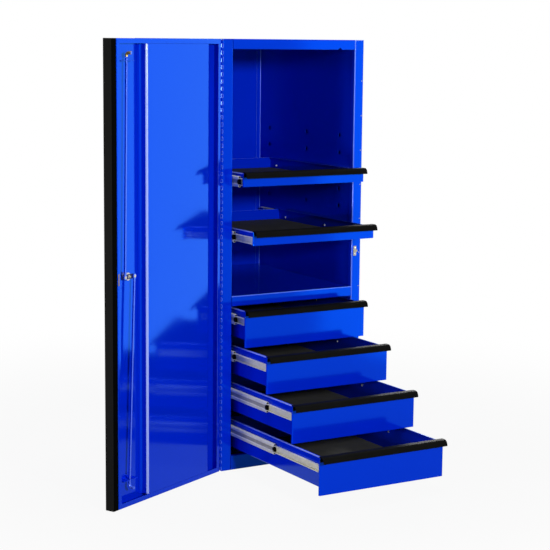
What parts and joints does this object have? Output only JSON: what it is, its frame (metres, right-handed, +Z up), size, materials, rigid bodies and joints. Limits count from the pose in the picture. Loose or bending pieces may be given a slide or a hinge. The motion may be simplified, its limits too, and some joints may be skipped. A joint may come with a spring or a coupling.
{
  "type": "tool chest side locker",
  "caption": "Tall blue steel side locker for a tool chest, with a side-hinged door on three-point locking rods and black-edged trays and drawers on ball-bearing slides.",
  "frame": {"origin": "centre of the cabinet's underside, midway between its sides and between its front plane and its rear edge", "axes": "+Z up, -Y out of the front that the drawers open through, +X to the right seen from the front"},
  "size_m": [0.9477, 1.088, 1.27],
  "materials": {
    "body_paint": "gloss",
    "trim_black": "satin",
    "steel_zinc": "satin",
    "mat_rubber": "matte"
  },
  "bodies": {
    "cabinet": {"left_side_shell": "body_paint", "right_side_shell": "body_paint", "top_pan": "body_paint", "bottom_pan": "body_paint", "divider_shelf": "body_paint", "back_panel": "body_paint", "left_liner": "body_paint", "right_liner": "body_paint", "door_catch": "steel_zinc", "hinge_leaf_cabinet": "body_paint", "hinge_pin": "steel_zinc"},
    "door": {"door_pan": "body_paint", "door_inner_panel": "body_paint", "door_pull": "trim_black", "hinge_leaf_door": "body_paint", "catch_keeper": "steel_zinc", "lock_case": "steel_zinc", "upper_rod_guide": "body_paint", "lower_rod_guide": "body_paint"},
    "lock": {"lock_cam": "steel_zinc"},
    "upper_rod": {"upper_rod": "body_paint"},
    "lower_rod": {"lower_rod": "body_paint"},
    "upper_tray_slides": {"upper_tray_slide_left": "steel_zinc", "upper_tray_slide_right": "steel_zinc"},
    "upper_tray": {"upper_tray_box": "body_paint", "upper_tray_front": "body_paint", "upper_tray_pull": "trim_black", "upper_tray_mat": "mat_rubber"},
    "lower_tray_slides": {"lower_tray_slide_left": "steel_zinc", "lower_tray_slide_right": "steel_zinc"},
    "lower_tray": {"lower_tray_box": "body_paint", "lower_tray_front": "body_paint", "lower_tray_pull": "trim_black", "lower_tray_mat": "mat_rubber"},
    "drawer_1_slides": {"drawer_1_slide_left": "steel_zinc", "drawer_1_slide_right": "steel_zinc"},
    "drawer_1": {"drawer_1_box": "body_paint", "drawer_1_front": "body_paint", "drawer_1_pull": "trim_black", "drawer_1_mat": "mat_rubber"},
    "drawer_2_slides": {"drawer_2_slide_left": "steel_zinc", "drawer_2_slide_right": "steel_zinc"},
    "drawer_2": {"drawer_2_box": "body_paint", "drawer_2_front": "body_paint", "drawer_2_pull": "trim_black", "drawer_2_mat": "mat_rubber"},
    "drawer_3_slides": {"drawer_3_slide_left": "steel_zinc", "drawer_3_slide_right": "steel_zinc"},
    "drawer_3": {"drawer_3_box": "body_paint", "drawer_3_front": "body_paint", "drawer_3_pull": "trim_black", "drawer_3_mat": "mat_rubber"},
    "drawer_4_slides": {"drawer_4_slide_left": "steel_zinc", "drawer_4_slide_right": "steel_zinc"},
    "drawer_4": {"drawer_4_box": "body_paint", "drawer_4_front": "body_paint", "drawer_4_pull": "trim_black", "drawer_4_mat": "mat_rubber"}
  },
  "joints": [
    {"name": "door_hinge", "type": "hinge", "parent": "cabinet", "child": "door", "pos_m": [-0.2447, -0.2915, 0.635], "axis": [0, 0, -1], "range_deg": [-63, 26]},
    {"name": "lock_turn", "type": "hinge", "parent": "door", "child": "lock", "pos_m": [-0.62583, -0.46819, 0.635], "axis": [-0.4399, 0.898, 0], "range_deg": [0, 90]},
    {"name": "upper_rod_pivot", "type": "hinge", "parent": "lock", "child": "upper_rod", "pos_m": [-0.64291, -0.47879, 0.635], "axis": [-0.4399, 0.898, 0], "range_deg": [-93, 0]},
    {"name": "lower_rod_pivot", "type": "hinge", "parent": "lock", "child": "lower_rod", "pos_m": [-0.60699, -0.46119, 0.635], "axis": [-0.4399, 0.898, 0], "range_deg": [-93, 0]},
    {"name": "upper_tray_slides_run", "type": "slide", "parent": "cabinet", "child": "upper_tray_slides", "axis": [0, -1, 0], "range_m": [-0.064, 0.212]},
    {"name": "upper_tray_run", "type": "slide", "parent": "upper_tray_slides", "child": "upper_tray", "axis": [0, -1, 0], "range_m": [-0.0196, 0.2144]},
    {"name": "lower_tray_slides_run", "type": "slide", "parent": "cabinet", "child": "lower_tray_slides", "axis": [0, -1, 0], "range_m": [-0.035, 0.241]},
    {"name": "lower_tray_run", "type": "slide", "parent": "lower_tray_slides", "child": "lower_tray", "axis": [0, -1, 0], "range_m": [-0.1072, 0.1268]},
    {"name": "drawer_1_slides_run", "type": "slide", "parent": "cabinet", "child": "drawer_1_slides", "axis": [0, -1, 0], "range_m": [-0.048, 0.228]},
    {"name": "drawer_1_run", "type": "slide", "parent": "drawer_1_slides", "child": "drawer_1", "axis": [0, -1, 0], "range_m": [-0.0513, 0.1827]},
    {"name": "drawer_2_slides_run", "type": "slide", "parent": "cabinet", "child": "drawer_2_slides", "axis": [0, -1, 0], "range_m": [-0.04, 0.236]},
    {"name": "drawer_2_run", "type": "slide", "parent": "drawer_2_slides", "child": "drawer_2", "axis": [0, -1, 0], "range_m": [-0.1849, 0.0491]},
    {"name": "drawer_3_slides_run", "type": "slide", "parent": "cabinet", "child": "drawer_3_slides", "axis": [0, -1, 0], "range_m": [-0.233, 0.043]},
    {"name": "drawer_3_run", "type": "slide", "parent": "drawer_3_slides", "child": "drawer_3", "axis": [0, -1, 0], "range_m": [-0.133, 0.101]},
    {"name": "drawer_4_slides_run", "type": "slide", "parent": "cabinet", "child": "drawer_4_slides", "axis": [0, -1, 0], "range_m": [-0.276, 0]},
    {"name": "drawer_4_run", "type": "slide", "parent": "drawer_4_slides", "child": "drawer_4", "axis": [0, -1, 0], "range_m": [-0.234, 0]}
  ],
  "couplings": [
    {"joint": "upper_rod_pivot", "follows": "lock_turn", "ratio": -1.0227},
    {"joint": "lower_rod_pivot", "follows": "lock_turn", "ratio": -1.0219}
  ]
}
